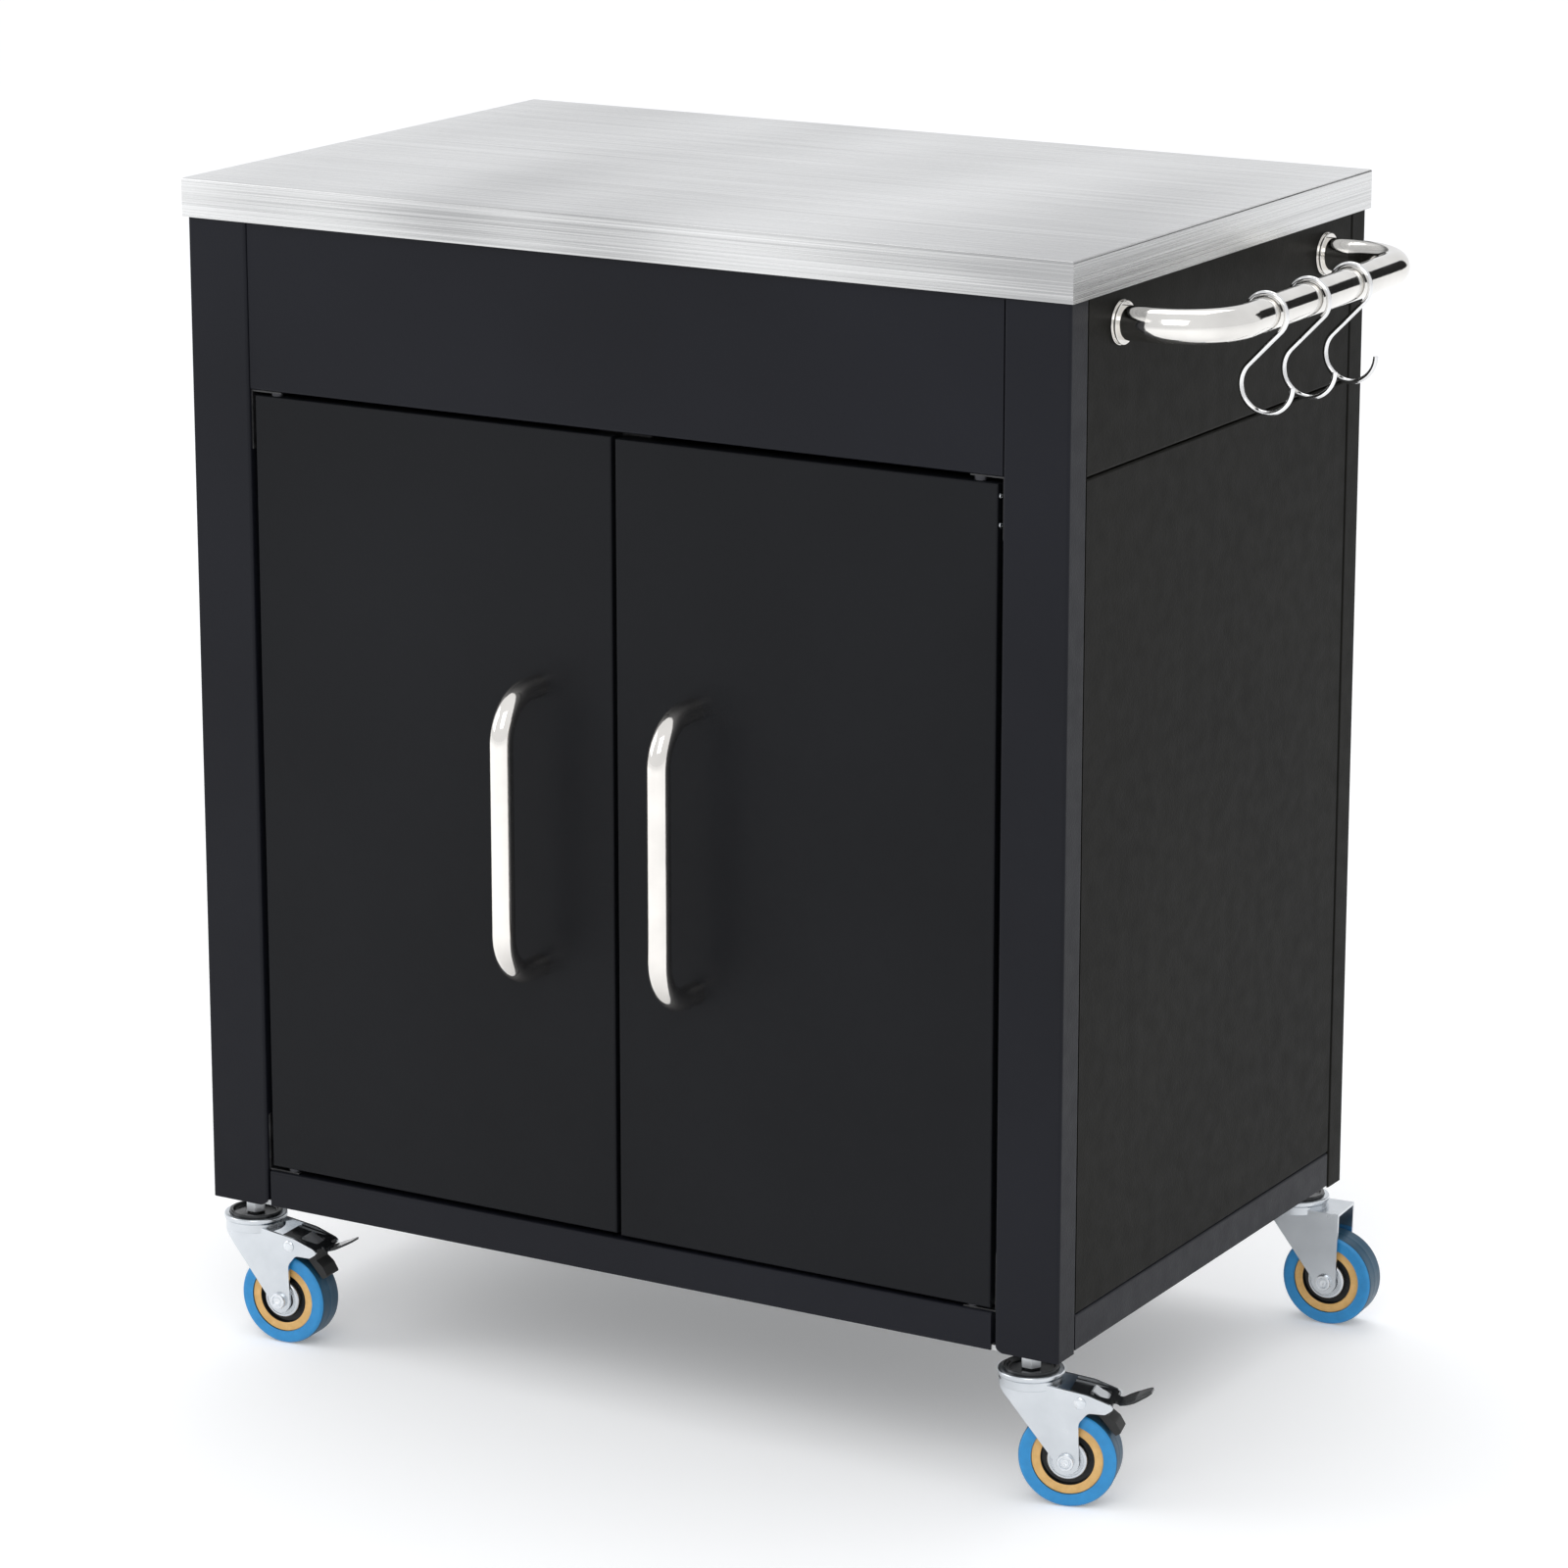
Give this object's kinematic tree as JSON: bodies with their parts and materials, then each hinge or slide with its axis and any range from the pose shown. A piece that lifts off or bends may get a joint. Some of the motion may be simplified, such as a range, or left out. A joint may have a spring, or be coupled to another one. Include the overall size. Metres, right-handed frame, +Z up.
{
  "type": "grill cart",
  "caption": "Wheeled outdoor grill cart: black steel cabinet with two doors and inner shelf, stainless worktop, side bar with S-hooks, braked swivel casters.",
  "frame": {"origin": "on the floor under the middle of the object's outer box", "axes": "+Z up; the doors and handles face -Y; the side bar with its hooks is at +X"},
  "size_m": [0.8612, 0.5572, 0.933],
  "materials": {
    "black_powder_coat": "black powder coat with fine orange peel",
    "stainless_top": "brushed along the front edge",
    "polished_tube": "bright polished stainless tube",
    "handle_tube": "fine satin stainless tube",
    "bright_wire": "bright plated wire",
    "zinc_plate": "bright zinc plate",
    "plain_steel": "galvanised sheet",
    "black_steel": "black coated steel",
    "blue_elastic": "smooth moulded elastic tread",
    "tan_core": "moulded nylon, satin",
    "black_rubber": "moulded rubber",
    "black_plastic": "moulded, matt"
  },
  "bodies": {
    "cabinet": {"front_left_post": "black_powder_coat", "front_right_post": "black_powder_coat", "rear_left_post": "black_powder_coat", "rear_right_post": "black_powder_coat", "header_panel": "black_powder_coat", "left_upper_panel": "black_powder_coat", "right_upper_panel": "black_powder_coat", "left_lower_panel": "black_powder_coat", "right_lower_panel": "black_powder_coat", "back_panel": "black_powder_coat", "base_tray": "black_powder_coat", "corner_plates": "plain_steel", "worktop": "stainless_top", "worktop_stiffeners": "plain_steel", "shelf": "black_powder_coat", "shelf_rails": "black_powder_coat", "hinge_brackets": "black_steel", "hinge_pins": "zinc_plate", "door_catch": "black_plastic", "side_bar": "polished_tube", "side_bar_flanges": "polished_tube", "caster_stems": "zinc_plate", "caster_caps": "black_steel"},
    "left_door_leaf": {"left_door": "black_powder_coat", "left_handle": "handle_tube", "left_strike_plate": "zinc_plate"},
    "right_door_leaf": {"right_door": "black_powder_coat", "right_handle": "handle_tube", "right_strike_plate": "zinc_plate"},
    "front_hook_body": {"front_hook": "bright_wire"},
    "middle_hook_body": {"middle_hook": "bright_wire"},
    "rear_hook_body": {"rear_hook": "bright_wire"},
    "front_left_caster": {"front_left_fork": "zinc_plate", "front_left_axle": "zinc_plate", "front_left_brake_pin": "zinc_plate"},
    "front_left_wheel": {"front_left_wheel_core": "tan_core", "front_left_tyre": "blue_elastic", "front_left_dust_covers": "zinc_plate"},
    "front_left_brake": {"front_left_brake_lever": "black_steel", "front_left_brake_shoe": "black_rubber"},
    "front_right_caster": {"front_right_fork": "zinc_plate", "front_right_axle": "zinc_plate", "front_right_brake_pin": "zinc_plate"},
    "front_right_wheel": {"front_right_wheel_core": "tan_core", "front_right_tyre": "blue_elastic", "front_right_dust_covers": "zinc_plate"},
    "front_right_brake": {"front_right_brake_lever": "black_steel", "front_right_brake_shoe": "black_rubber"},
    "rear_left_caster": {"rear_left_fork": "zinc_plate", "rear_left_axle": "zinc_plate"},
    "rear_left_wheel": {"rear_left_wheel_core": "tan_core", "rear_left_tyre": "blue_elastic", "rear_left_dust_covers": "zinc_plate"},
    "rear_right_caster": {"rear_right_fork": "zinc_plate", "rear_right_axle": "zinc_plate"},
    "rear_right_wheel": {"rear_right_wheel_core": "tan_core", "rear_right_tyre": "blue_elastic", "rear_right_dust_covers": "zinc_plate"}
  },
  "joints": [
    {"name": "left_door_hinge", "type": "hinge", "parent": "cabinet", "child": "left_door_leaf", "pos_m": [-0.353, -0.2116, 0.445], "axis": [0, 0, -1], "range_deg": [0, 110]},
    {"name": "right_door_hinge", "type": "hinge", "parent": "cabinet", "child": "right_door_leaf", "pos_m": [0.2578, -0.2116, 0.445], "axis": [0, 0, 1], "range_deg": [0, 110]},
    {"name": "front_hook_swing", "type": "hinge", "parent": "cabinet", "child": "front_hook_body", "pos_m": [0.4069, -0.0611, 0.878], "axis": [0, 1, 0], "range_deg": [-60, 40]},
    {"name": "middle_hook_swing", "type": "hinge", "parent": "cabinet", "child": "middle_hook_body", "pos_m": [0.4069, 0.0104, 0.878], "axis": [0, 1, 0], "range_deg": [-60, 40]},
    {"name": "rear_hook_swing", "type": "hinge", "parent": "cabinet", "child": "rear_hook_body", "pos_m": [0.4069, 0.0819, 0.878], "axis": [0, 1, 0], "range_deg": [-60, 40]},
    {"name": "front_left_swivel", "type": "hinge", "parent": "cabinet", "child": "front_left_caster", "pos_m": [-0.3976, -0.2056, 0.096], "axis": [0, 0, 1], "continuous": true},
    {"name": "front_left_wheel_spin", "type": "hinge", "parent": "front_left_caster", "child": "front_left_wheel", "pos_m": [-0.36717, -0.20347, 0.0375], "axis": [-0.0698, 0.9976, 0], "continuous": true},
    {"name": "front_left_brake_press", "type": "hinge", "parent": "front_left_caster", "child": "front_left_brake", "pos_m": [-0.3572, -0.20278, 0.0843], "axis": [-0.0698, 0.9976, 0], "range_deg": [0, 4]},
    {"name": "front_right_swivel", "type": "hinge", "parent": "cabinet", "child": "front_right_caster", "pos_m": [0.3024, -0.2056, 0.096], "axis": [0, 0, 1], "continuous": true},
    {"name": "front_right_wheel_spin", "type": "hinge", "parent": "front_right_caster", "child": "front_right_wheel", "pos_m": [0.33172, -0.19719, 0.0375], "axis": [-0.2756, 0.9613, 0], "continuous": true},
    {"name": "front_right_brake_press", "type": "hinge", "parent": "front_right_caster", "child": "front_right_brake", "pos_m": [0.34133, -0.19444, 0.0843], "axis": [-0.2756, 0.9613, 0], "range_deg": [0, 4]},
    {"name": "rear_left_swivel", "type": "hinge", "parent": "cabinet", "child": "rear_left_caster", "pos_m": [-0.3976, 0.2534, 0.096], "axis": [0, 0, 1], "continuous": true},
    {"name": "rear_left_wheel_spin", "type": "hinge", "parent": "rear_left_caster", "child": "rear_left_wheel", "pos_m": [-0.36727, 0.25021, 0.0375], "axis": [0.1045, 0.9945, 0], "continuous": true},
    {"name": "rear_right_swivel", "type": "hinge", "parent": "cabinet", "child": "rear_right_caster", "pos_m": [0.3024, 0.2534, 0.096], "axis": [0, 0, 1], "continuous": true},
    {"name": "rear_right_wheel_spin", "type": "hinge", "parent": "rear_right_caster", "child": "rear_right_wheel", "pos_m": [0.33283, 0.25553, 0.0375], "axis": [-0.0698, 0.9976, 0], "continuous": true}
  ]
}
